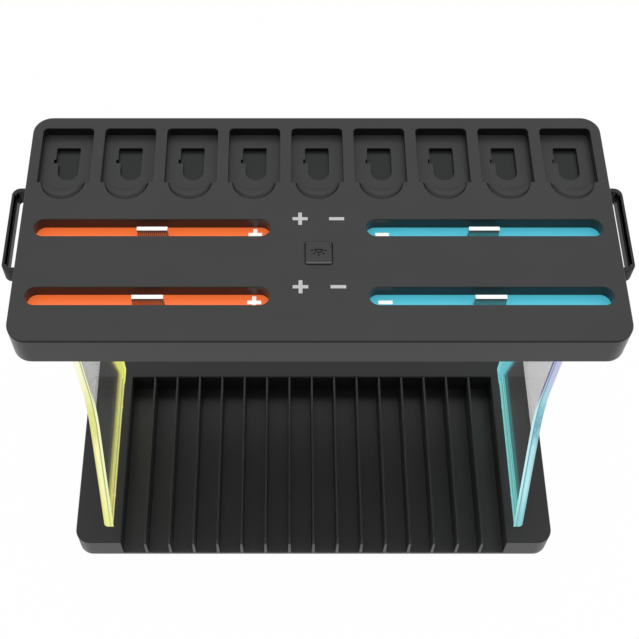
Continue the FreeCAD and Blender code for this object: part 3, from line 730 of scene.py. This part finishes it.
@dataclass(frozen=True)
class ClearPanelFinish(Finish):
    """Clear acrylic that bends light, with glowing cut edges and painted light over its foot and
    its inner face.
    """

    light: EdgeLight
    side: int
    inner: float
    thickness: float
    foot: float
    height: float
    rear: float
    on_face: FaceLayout = FaceLayout()
    on_edge: EdgeLayout = EdgeLayout()
    edge_facing: Span = (0.97, 0.88)
    clear: Colour = (0.99, 0.99, 0.99)
    bending: float = 1.49
    bleed: float = 0.66
    edge_roughness: float = 0.2

    def shader(self, sheet: NodeSheet) -> bpy.types.Node:
        """Clear acrylic where the surface faces sideways and a glowing edge elsewhere."""
        turned = abs(sheet.facing()[0]).rise(*self.edge_facing)
        return sheet.mix_shaders(turned, self._face(sheet), self._edge(sheet))

    def _face(self, sheet: NodeSheet) -> bpy.types.Node:
        """A face: clear, with painted light on its inner side: two lines over the foot and a strip
        by the rear, partly light bleeding in from those edges and partly painted reflections of
        them seen through the slab, and a faint painted fill light elsewhere.
        """
        light, where = self.light, self.on_face
        _, along, height = sheet.axes()
        inward = (sheet.facing()[0] * -self.side).rise(*where.inner_facing)
        above = height - self.foot
        climb = above / where.foot_reach
        behind = (self.rear - along) / (where.rear_reach + above * where.rear_slope)
        streaks = sheet.noise(where.streak_size)
        first, second = (climb.band(*line) for line in where.foot_lines)
        faded = climb.rise(*where.foot_fade) * (where.fade_least + streaks * where.fade_streaks)
        # Painted light over the foot: partly the foot's light bleeding up the face, partly painted
        # reflections of the foot seen through the slab.
        colour = sheet.mix(climb.rise(*where.foot_shade), light.foot, light.foot_shade)
        colour = sheet.mix((first + second).at_most(1.0), colour, light.foot_line)
        colour = sheet.mix(climb.rise(*where.foot_start), colour, light.painted_fill_light)
        # Painted fill light over the rest of the inner face.
        colour = sheet.mix(faded, colour, light.painted_fill_light)
        # Painted light: a strip by the rear edge, partly its light bleeding in and partly a painted
        # reflection of it.
        colour = sheet.mix(behind.rise(*where.rear_start), colour, light.rear)
        return sheet.principled(
            {
                "Base Color": opaque(self.clear),
                "Roughness": 0.0,
                "IOR": self.bending,
                "Transmission Weight": 1.0,
                "Emission Color": sheet.mix(inward, BLACK, colour),
                "Emission Strength": self.bleed,
            }
        )

    def _edge(self, sheet: NodeSheet) -> bpy.types.Node:
        """An edge: a brink, a line, a seam, a pale core and a rim, which change as they climb."""
        light, where = self.light, self.on_edge
        across, _, height = sheet.axes()
        front = sheet.facing()[1].rise(*where.front_facing)
        depth = (abs(across) - self.inner) / self.thickness
        climb = (height - self.foot) / self.height
        streaks = sheet.noise(where.streak_size, where.detail).rise(*where.core_streaks)
        patches = sheet.noise(where.patch_size, where.detail).rise(*where.dim_patches)
        colour = sheet.mix(climb.rise(*where.body_climb), light.body_low, light.body_high)
        rim = sheet.mix(climb.rise(*where.rim_climb), light.rim_low, light.rim_high)
        colour = sheet.mix(depth.rise(*where.rim_depth), colour, rim)
        lit = climb.rise(*where.core_climb) * streaks.varied(where.core_least)
        colour = sheet.mix(depth.band(*where.core_depth) * lit, colour, light.core)
        dim = climb.band(*where.dim_climb) * patches.varied(where.dim_least)
        colour = sheet.mix(dim, colour, light.body_dim)
        colour = sheet.mix(depth.band(*where.seam_depth), colour, light.seam)
        line = sheet.mix(climb.rise(*where.line_climb), light.line_low, light.line_high)
        colour = sheet.mix(depth.rise(*where.line_depth), colour, line)
        brink = depth.rise(*where.brink_depth) * climb.rise(*where.brink_climb)
        colour = sheet.mix(brink, colour, light.brink)
        colour = sheet.mix(climb.rise(*where.root_climb) * where.root_most, colour, light.root)
        return sheet.principled(
            {
                "Base Color": opaque(BLACK),
                "Roughness": self.edge_roughness,
                "Specular IOR Level": 0.0,
                "Emission Color": sheet.mix(front, light.rear, colour),
                "Emission Strength": 1.0,
            }
        )


def dress(piece: bpy.types.Object, material: bpy.types.Material) -> None:
    """Give a piece one material in place of any that it has."""
    piece.data.materials.clear()
    piece.data.materials.append(material)


def mesh_piece(name: str, points: Array, faces: list[list[int]]) -> bpy.types.Object:
    """A new object at the origin, with its mesh made of these points and faces."""
    mesh = bpy.data.meshes.new(name)
    mesh.from_pydata(points.tolist(), [], faces)
    mesh.update()
    piece = bpy.data.objects.new(name, mesh)
    bpy.context.scene.collection.objects.link(piece)
    return piece


def raised_plate(
    name: str, outline: Array, middle: Array, low: float, high: float, soft: float
) -> bpy.types.Object:
    """Build a flat plate with softened upper edges from its outline.

    The surface has two parameters: the place along the outline, and a ring number that climbs from
    the middle of the underside, out to the outline, up the side, over the softened edge and in to
    the middle of the top. A ring's points are middle + share * (outline - middle), at the ring's
    own height.

    Args:
        name: The piece's name.
        outline: Corners in turn, counterclockwise from above, as rows of X and Y.
        middle: A point that sees the whole outline.
        low: Height of the underside.
        high: Height of the top.
        soft: How far the softened edge reaches inwards and down.

    Returns:
        The new object, at the origin.
    """
    reach = np.linalg.norm(outline - middle, axis=1).mean()
    ring = SOFT_RING_SHARE * soft
    shares = np.array((1.0, 1.0, 1 - ring / reach, 1 - soft / reach))
    heights = np.array((low, high - soft, high - ring, high))
    flat = middle + shares[:, None, None] * (outline - middle)[None, :, :]
    levels = np.broadcast_to(heights[:, None, None], (*flat.shape[:2], 1))
    rings = np.concatenate([flat, levels], axis=2)
    poles = np.array([[*middle, low], [*middle, high]])
    points = np.concatenate([rings.reshape(-1, 3), poles])
    count = len(outline)
    here = np.arange(count)
    following = (here + 1) % count
    starts = (np.arange(len(shares) - 1) * count)[:, None]
    above = starts + count
    sides = np.stack([starts + here, starts + following, above + following, above + here], axis=2)
    under = np.stack([following, here, np.full(count, len(points) - 2)], axis=1)
    last = (len(shares) - 1) * count
    over = np.stack([last + here, last + following, np.full(count, len(points) - 1)], axis=1)
    return mesh_piece(name, points, sides.reshape(-1, 4).tolist() + under.tolist() + over.tolist())


def printed_line(
    name: str, path: Array, half_width: float, low: float, high: float
) -> bpy.types.Object:
    """Build a flat line of even width along a closed path.

    The surface has two parameters: the place along the path, and one of four corners of the line's
    section. A corner lies at the path's point, moved by half_width to either side along the path's
    normal, at low or high.

    Args:
        name: The piece's name.
        path: Points in turn, as rows of X and Y.
        half_width: Half the line's width.
        low: Height of the underside.
        high: Height of the top.

    Returns:
        The new object, at the origin.
    """
    run = np.roll(path, -1, axis=0) - np.roll(path, 1, axis=0)
    across = np.stack([run[:, 1], -run[:, 0]], axis=1)
    normal = across / np.linalg.norm(run, axis=1, keepdims=True)
    sides = half_width * np.array((1.0, 1.0, -1.0, -1.0))
    levels = np.array((low, high, high, low))
    corners = len(levels)
    flat = path[:, None, :] + sides[None, :, None] * normal[:, None, :]
    heights = np.broadcast_to(levels[None, :, None], (len(path), corners, 1))
    points = np.concatenate([flat, heights], axis=2).reshape(-1, 3)
    here = np.arange(len(path))[:, None] * corners
    beyond = np.roll(here, -1, axis=0)
    corner = np.arange(corners)[None, :]
    following = (corner + 1) % corners
    faces = np.stack([here + corner, beyond + corner, beyond + following, here + following], axis=2)
    return mesh_piece(name, points, faces.reshape(-1, corners).tolist())


def bar_outline(half_length: float, half_width: float) -> Array:
    """The four corners of a bar along X, round the origin."""
    corners = np.array([[1, -1], [1, 1], [-1, 1], [-1, -1]])
    return corners * np.array([half_length, half_width])


def plus_outline(reach: float, half_stroke: float) -> Array:
    """The twelve corners of a plus sign: one arm's three corners, turned by quarter turns."""
    arm = np.array([[reach, -half_stroke], [reach, half_stroke], [half_stroke, half_stroke]])
    turns = np.arange(4) * math.pi / 2
    cosine, sine = np.cos(turns), np.sin(turns)
    rows = (np.stack([cosine, -sine], axis=1), np.stack([sine, cosine], axis=1))
    return np.einsum("tij,cj->tci", np.stack(rows, axis=1), arm).reshape(-1, 2)


@dataclass
class SidePanel:
    """One clear side panel with the light that runs in it."""

    side: Side

    def build(self) -> None:
        """Dress the solid from its own box and the levels of the base and the tray."""
        node = f"{self.side.word}_side_panel"
        low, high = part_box(node)
        base_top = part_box("base_frame")[1].z
        tray_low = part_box("tray_bottom_cover")[0].z
        inner, outer = sorted((abs(low.x), abs(high.x)))
        finish = ClearPanelFinish(
            f"{self.side.word}_clear_acrylic",
            light=EDGE_LIGHTS[self.side],
            side=self.side.value,
            inner=inner,
            thickness=outer - inner,
            foot=base_top,
            height=tray_low - base_top,
            rear=high.y,
        )
        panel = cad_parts[node]
        dress(panel, finish.material())
        # The panels' glow is a finish, so it doesn't tint the dark plastic round them.
        panel.visible_diffuse = False
        LOG.info("%s: clear acrylic with glowing edges", node)


class SignKind(Enum):
    """The two printed signs."""

    PLUS = "plus"
    MINUS = "minus"


@dataclass(frozen=True)
class SignSize:
    """How large a sign is: half its length, and half the width of its strokes."""

    reach: float
    half_stroke: float

    def outline(self, kind: SignKind) -> Array:
        """A sign's outline round the origin."""
        draw = plus_outline if kind is SignKind.PLUS else bar_outline
        return draw(self.reach, self.half_stroke)


@dataclass
class PrintedSigns:
    """The signs printed on the tray's top and on the coloured floors of the charging slots."""

    top_size: SignSize = SignSize(3.55 * MM, 0.88 * MM)
    top_places: tuple[tuple[SignKind, float], ...] = (
        (SignKind.PLUS, -8.5 * MM),
        (SignKind.MINUS, 8.7 * MM),
    )
    top_rows: tuple[float, float] = (-21.9 * MM, 16.2 * MM)
    floor_size: SignSize = SignSize(3.22 * MM, 0.95 * MM)
    floor_kinds: tuple[tuple[Side, SignKind], ...] = (
        (Side.LEFT, SignKind.PLUS),
        (Side.RIGHT, SignKind.MINUS),
    )
    floor_offset: float = 47.95 * MM
    floor_nudge: float = 0.35 * MM
    floor_lift: float = 0.7 * MM
    film: float = 0.08 * MM

    def build(self) -> None:
        """Print all signs."""
        self._print_tray()
        self._print_floors()
        LOG.info("signs: four on the tray and four in the slots")

    def _print_tray(self) -> None:
        """Print a plus and a minus beside each row of slots."""
        ink = PrintedInk("pale_sign_ink", shown(214, 214, 214)).material()
        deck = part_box("tray_top_cover")[1].z
        for row, y in zip(ROWS, self.top_rows):
            for kind, x in self.top_places:
                name = f"{row}_{kind.value}_sign"
                self._sign(name, self.top_size.outline(kind), np.array([x, y]), deck, ink)

    def _print_floors(self) -> None:
        """Print one sign at the inner end of each slot's floor."""
        # Painted light: the floor signs glow in their own colour.
        ink = PrintedInk("white_sign_ink", shown(250, 249, 246), glow=0.5).material()
        for side, kind in self.floor_kinds:
            for row in ROWS:
                word = f"{row}_{side.word}"
                low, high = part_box(f"{word}_pad")
                middle = (low + high) / 2
                shift = self.floor_nudge - side.value * self.floor_offset
                place = np.array([middle.x + shift, middle.y + self.floor_lift])
                self._sign(f"{word}_slot_sign", self.floor_size.outline(kind), place, high.z, ink)

    def _sign(
        self, name: str, outline: Array, place: Array, level: float, ink: bpy.types.Material
    ) -> None:
        """Lay one sign.

        Args:
            name: The piece's name.
            outline: Its outline round the origin.
            place: Its middle as X and Y.
            level: Height of the surface that it is printed on.
            ink: Its material.
        """
        low, high = level - self.film, level + self.film
        sign = raised_plate(name, place + outline, place, low, high, self.film / 2)
        dress(sign, ink)
        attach(sign, "station")


@dataclass
class LampSymbol:
    """The lamp symbol on the light button: a bowl's outline with short rays under it."""

    bowl_half: float = 1.68 * MM
    bowl_drop: float = 1.75 * MM
    bowl_points: int = 25
    edge_points: int = 12
    line_half: float = 0.24 * MM
    lift: float = 1.5 * MM
    ray_half_length: float = 0.55 * MM
    ray_half_width: float = 0.3 * MM
    ray_reach: float = 3.2 * MM
    ray_turns: tuple[float, ...] = (9.0, 46.0, 90.0, 134.0, 171.0)
    film: float = 0.05 * MM

    def _bowl(self) -> Array:
        """The bowl's path: half an ellipse under a straight top edge."""
        turns = np.linspace(math.pi, 2 * math.pi, self.bowl_points)
        curve = np.stack([self.bowl_half * np.cos(turns), self.bowl_drop * np.sin(turns)], axis=1)
        across = np.linspace(self.bowl_half, -self.bowl_half, self.edge_points)[1:-1]
        return np.concatenate([curve, np.stack([across, np.zeros_like(across)], axis=1)])

    def _ray(self, turn: float) -> Array:
        """One ray's outline: a bar along its turn, pushed out from the bowl's top edge."""
        angle = -math.radians(turn)
        along = np.array([math.cos(angle), math.sin(angle)])
        side = np.array([-along[1], along[0]])
        bar = bar_outline(self.ray_half_length, self.ray_half_width)
        return along * self.ray_reach + bar[:, :1] * along + bar[:, 1:] * side

    def build(self) -> None:
        """Print the symbol on the button's top."""
        low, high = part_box("button_cap")
        middle = np.array([(low.x + high.x) / 2, (low.y + high.y) / 2 + self.lift])
        ink = PrintedInk("lamp_symbol_ink", shown(20, 20, 21), roughness=0.6, gloss=0.05).material()
        under, over = high.z - self.film, high.z + self.film
        prints = [printed_line("lamp_bowl", middle + self._bowl(), self.line_half, under, over)]
        for number, turn in enumerate(self.ray_turns):
            ray = middle + self._ray(turn)
            name = f"lamp_ray_{number}"
            prints.append(raised_plate(name, ray, ray.mean(axis=0), under, over, self.film / 2))
        for piece in prints:
            dress(piece, ink)
            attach(piece, "mode_button")
        LOG.info("light button: lamp symbol of %d prints", len(prints))


@dataclass
class SolidFinishes:
    """The finish of every solid that shows as it is."""

    charcoal: Colour = (0.0468, 0.0472, 0.048)
    base_charcoal: Colour = (0.042, 0.0424, 0.0432)
    # Painted light: the rack's floor is the same charcoal plastic, made lighter to lift it in the
    # shade under the tray.
    painted_lit_floor_charcoal: Colour = (0.084, 0.0845, 0.0855)
    rib_charcoal: Colour = (0.047, 0.0474, 0.048)
    orange: Colour = shown(238, 110, 54)
    cyan: Colour = shown(82, 192, 214)
    component: Colour = (0.018, 0.018, 0.019)
    light_chip: Colour = (0.82, 0.8, 0.68)
    rubber: Colour = (0.02, 0.02, 0.021)
    pocket_drop: float = 7.3 * MM
    rebate_height: float = 3.5 * MM
    cap_height: float = 0.06 * MM
    fine_grain: float = 0.3 * MM
    finest_grain: float = 0.2 * MM
    fine_depth: float = 0.01 * MM

    def build(self) -> None:
        """Dress the solids by finish."""
        for finish, nodes in {**self._plastics(), **self._fittings()}.items():
            material = finish.material()
            for node in nodes:
                dress(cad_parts[node], material)
            LOG.info("%s: %s", finish.name, ", ".join(nodes))

    def _plastics(self) -> dict[Finish, tuple[str, ...]]:
        """The moulded plastics that show, with their solids."""
        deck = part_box("tray_top_cover")[1].z
        loop_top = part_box("right_hanger_loop")[1]
        tray = TrayPlastic(
            "charcoal_tray", self.charcoal, pocket_level=deck - self.pocket_drop, deck=deck
        )
        loop = LoopPlastic(
            "charcoal_loop",
            self.charcoal,
            roughness=0.5,
            gloss=0.0,
            grain=self.fine_grain,
            step=loop_top.z - self.rebate_height,
            reach=loop_top.x,
        )
        base = MouldedPlastic("charcoal_base", self.base_charcoal, roughness=0.34, gloss=0.21)
        # The floor's lighter colour is painted light.
        floor = MouldedPlastic("charcoal_floor", self.painted_lit_floor_charcoal)
        rib = MouldedPlastic("charcoal_rib", self.rib_charcoal)
        key = KeyPlastic(
            "charcoal_key", self.charcoal, roughness=0.32, grain=0.25 * MM, depth=self.fine_depth
        )
        satin = {"gloss": 0.35, "grain": self.fine_grain, "depth": self.fine_depth, "cloud": 0.03}
        # Painted light: the slot floors glow in their own colour, brighter than their lighting
        # makes them.
        orange = MouldedPlastic("orange_floor", self.orange, glow=0.55, **satin)
        cyan = MouldedPlastic("cyan_floor", self.cyan, glow=0.42, **satin)
        return {
            tray: ("tray_top_cover", "tray_bottom_cover"),
            base: ("base_frame",),
            floor: ("base_plate",),
            rib: ("case_dividers",),
            loop: ("left_hanger_loop", "right_hanger_loop"),
            key: ("button_cap",),
            orange: ("front_left_pad", "rear_left_pad"),
            cyan: ("front_right_pad", "rear_right_pad"),
        }

    def _fittings(self) -> dict[Finish, tuple[str, ...]]:
        """The finishes of connectors, metal, rubber and what is inside, with their solids."""
        finest = {"grain": self.finest_grain, "depth": self.fine_depth}
        black = MouldedPlastic("black_component", self.component, **finest)
        pale = MouldedPlastic("pale_light_chip", self.light_chip, **finest)
        rubber = MouldedPlastic(
            "foot_rubber", self.rubber, roughness=0.75, gloss=0.2, grain=0.6 * MM
        )
        tongue = LitCapTongue(
            "connector_tongue",
            cap=shown(252, 251, 248),
            body=shown(150, 144, 138),
            cap_height=self.cap_height,
            top=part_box("front_left_connector")[1].z,
        )
        contact = WorkedMetal(
            "contact_strip", (0.66, 0.61, 0.53), roughness=0.36, lines=(0.1 * MM, 0.1 * MM, 2 * MM)
        )
        steel = WorkedMetal(
            "screw_steel", (0.32, 0.32, 0.33), roughness=0.38, lines=(0.3 * MM, 0.3 * MM, 0.3 * MM)
        )
        drawn = WorkedMetal(
            "inlet_steel", (0.62, 0.62, 0.63), roughness=0.3, lines=(0.15 * MM, 3 * MM, 0.15 * MM)
        )
        board = CoatedBoard("green_board", lacquer=(0.018, 0.12, 0.05), track=(0.03, 0.2, 0.08))
        screws = ("base", "cover", "board", "panel_top", "panel_foot")
        return {
            black: ("switch_body", "switch_plunger", "board_chips", "inlet_tongue"),
            pale: ("left_lights", "right_lights"),
            rubber: ("base_feet",),
            tongue: tuple(f"{row}_{side.word}_connector" for row in ROWS for side in Side),
            contact: ("connector_contacts",),
            steel: tuple(f"{place}_screws" for place in screws),
            drawn: ("inlet_shell",),
            board: ("main_board",),
        }


def seen(sheet: NodeSheet) -> Term:
    """1 for rays that show a surface, its mirror image or its refraction, 0 for rays that light."""
    path = sheet.node("ShaderNodeLightPath", {}, {})
    kinds = ("Camera", "Glossy", "Transmission")
    camera, glossy, transmission = (Term(sheet, path.outputs[f"Is {kind} Ray"]) for kind in kinds)
    return (camera + glossy + transmission).at_most(1.0)


@dataclass(frozen=True)
class FloorPaper(Finish):
    """White paper that stays white where it is seen, and still takes the object's shadow."""

    paper: Colour = (0.9, 0.9, 0.9)
    white_share: float = 0.985

    def shader(self, sheet: NodeSheet) -> bpy.types.Node:
        """Matt paper, with white laid over it for the rays that show it."""
        paper = sheet.node("ShaderNodeBsdfDiffuse", {}, {"Color": opaque(self.paper)})
        white = sheet.node("ShaderNodeEmission", {}, {"Color": opaque(WHITE), "Strength": 1.0})
        return sheet.mix_shaders(seen(sheet) * self.white_share, paper, white)


@dataclass
class Studio:
    """The camera at the photograph's angle, a white floor and world, and a soft lamp overhead."""

    camera_place: Triple = (-0.01398, -0.31721, 0.65183)
    camera_tilt: float = 31.239
    lens: float = 67.564
    sensor: float = 36.0
    shift: float = 0.04858
    nearest: float = 0.01
    ambient: float = 1.0
    front_shade: float = 0.08
    dome_lean: float = 0.5
    dome_span: Span = (-0.33, 0.22)
    floor_half: float = 6.0
    lamp_place: Triple = (0.0, 0.25, 1.7)
    lamp_size: float = 1.2
    lamp_power: float = 2.0

    def build(self) -> None:
        """Set up everything that isn't part of the object."""
        self._camera()
        self._world()
        self._floor()
        self._lamp()
        bpy.context.scene.view_settings.view_transform = "Standard"
        LOG.info("studio: camera, world, floor and softbox")

    def _camera(self) -> None:
        """Place the camera as it stands in the photograph."""
        data = bpy.data.cameras.new("photo_camera")
        data.lens = self.lens
        data.sensor_width = self.sensor
        data.shift_x = self.shift
        data.clip_start = self.nearest
        camera = bpy.data.objects.new("photo_camera", data)
        camera.location = self.camera_place
        camera.rotation_euler = (math.radians(self.camera_tilt), 0.0, 0.0)
        bpy.context.scene.collection.objects.link(camera)
        bpy.context.scene.camera = camera

    def _world(self) -> None:
        """White where it is seen; as light, a dome that is dim in front and bright elsewhere."""
        world = bpy.data.worlds.new("studio_world")
        world.use_nodes = True
        bpy.context.scene.world = world
        sheet = NodeSheet(world.node_tree)
        _, rear, up = sheet.split(sheet.coordinate("Generated"))
        bright = (rear + up * self.dome_lean).rise(*self.dome_span)
        shade = sheet.mix(bright, (self.front_shade,) * 3, WHITE)
        dome = sheet.node("ShaderNodeBackground", {}, {"Color": shade, "Strength": self.ambient})
        white = sheet.node("ShaderNodeBackground", {}, {"Color": opaque(WHITE), "Strength": 1.0})
        both = sheet.mix_shaders(seen(sheet), dome, white)
        sheet.node("ShaderNodeOutputWorld", {}, {"Surface": both.outputs[0]})

    def _floor(self) -> None:
        """Lay a wide white floor."""
        corners = self.floor_half * np.array([[-1, -1, 0], [1, -1, 0], [1, 1, 0], [-1, 1, 0]])
        floor = mesh_piece("studio_floor", corners, [[0, 1, 2, 3]])
        dress(floor, FloorPaper("white_floor").material())

    def _lamp(self) -> None:
        """Hang a square lamp that faces the origin."""
        data = bpy.data.lights.new("overhead_softbox", "AREA")
        data.size = self.lamp_size
        data.energy = self.lamp_power
        lamp = bpy.data.objects.new("overhead_softbox", data)
        lamp.location = self.lamp_place
        x, y, z = self.lamp_place
        tilt = math.atan2(math.hypot(x, y), z)
        lamp.rotation_euler = (tilt, 0.0, math.atan2(y, x) + math.pi / 2)
        bpy.context.scene.collection.objects.link(lamp)


def main() -> None:
    """Dress the station, lay its prints and set up the studio."""
    logging.basicConfig(level=logging.INFO, format="%(name)s: %(message)s")
    SolidFinishes().build()
    for side in Side:
        SidePanel(side).build()
    PrintedSigns().build()
    LampSymbol().build()
    Studio().build()


if __name__ == "__main__":
    main()
